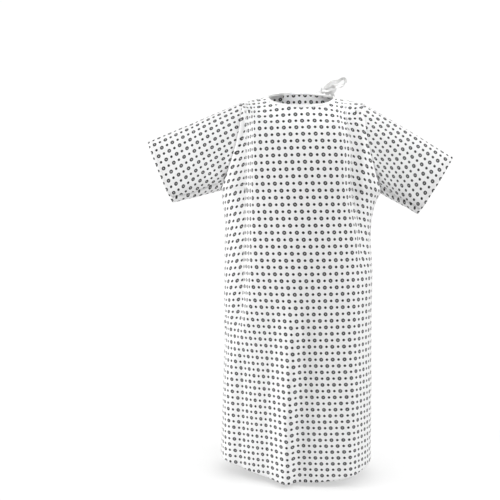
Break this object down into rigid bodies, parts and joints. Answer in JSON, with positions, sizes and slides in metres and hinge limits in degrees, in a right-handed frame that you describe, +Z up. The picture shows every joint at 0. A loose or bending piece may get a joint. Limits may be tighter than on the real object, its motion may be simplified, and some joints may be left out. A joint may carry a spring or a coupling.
{
  "type": "patient gown",
  "caption": "Short-sleeved hospital gown that opens at the back, with lapped back panels, set-in sleeves, a taped round neck and a tied neck bow.",
  "frame": {"origin": "at the shoulders, midway between the two sides of the neck opening, where the gown hangs on its wearer or on a form", "axes": "+Z up, -Y is the way the wearer faces, +X is the wearer's left"},
  "size_m": [0.8941, 0.2986, 1.1717],
  "materials": {
    "printed_cloth": "matt plain weave, white with a small dark grey medallion print",
    "white_tape": "matt white twill tape"
  },
  "bodies": {
    "root": {"front_panel": "printed_cloth", "right_back_panel": "printed_cloth", "left_back_panel": "printed_cloth", "front_neck_binding": "white_tape", "right_back_neck_binding": "white_tape", "left_back_neck_binding": "white_tape", "bow_knot": "white_tape", "bow_upper_loop": "white_tape", "bow_lower_loop": "white_tape", "long_tie_end": "white_tape", "short_tie_end": "white_tape"},
    "right_flap": {"right_back_flap": "printed_cloth"},
    "left_flap": {"left_back_flap": "printed_cloth"},
    "right_arm": {"right_sleeve": "printed_cloth"},
    "left_arm": {"left_sleeve": "printed_cloth"}
  },
  "joints": [
    {"name": "right_sleeve_raise", "type": "hinge", "parent": "root", "child": "right_arm", "pos_m": [-0.174, 0, -0.024], "axis": [0, 1, 0], "range_deg": [0, 30]},
    {"name": "left_sleeve_raise", "type": "hinge", "parent": "root", "child": "left_arm", "pos_m": [0.174, 0, -0.024], "axis": [0, -1, 0], "range_deg": [0, 35]},
    {"name": "right_flap_open", "type": "hinge", "parent": "root", "child": "right_flap", "pos_m": [-0.2172, 0, -0.4], "axis": [0, 0, 1], "range_deg": [0, 60]},
    {"name": "left_flap_open", "type": "hinge", "parent": "root", "child": "left_flap", "pos_m": [0.2172, 0, -0.4], "axis": [0, 0, -1], "range_deg": [0, 18]}
  ],
  "couplings": [
    {"joint": "left_flap_open", "follows": "right_flap_open", "ratio": 0.3}
  ]
}
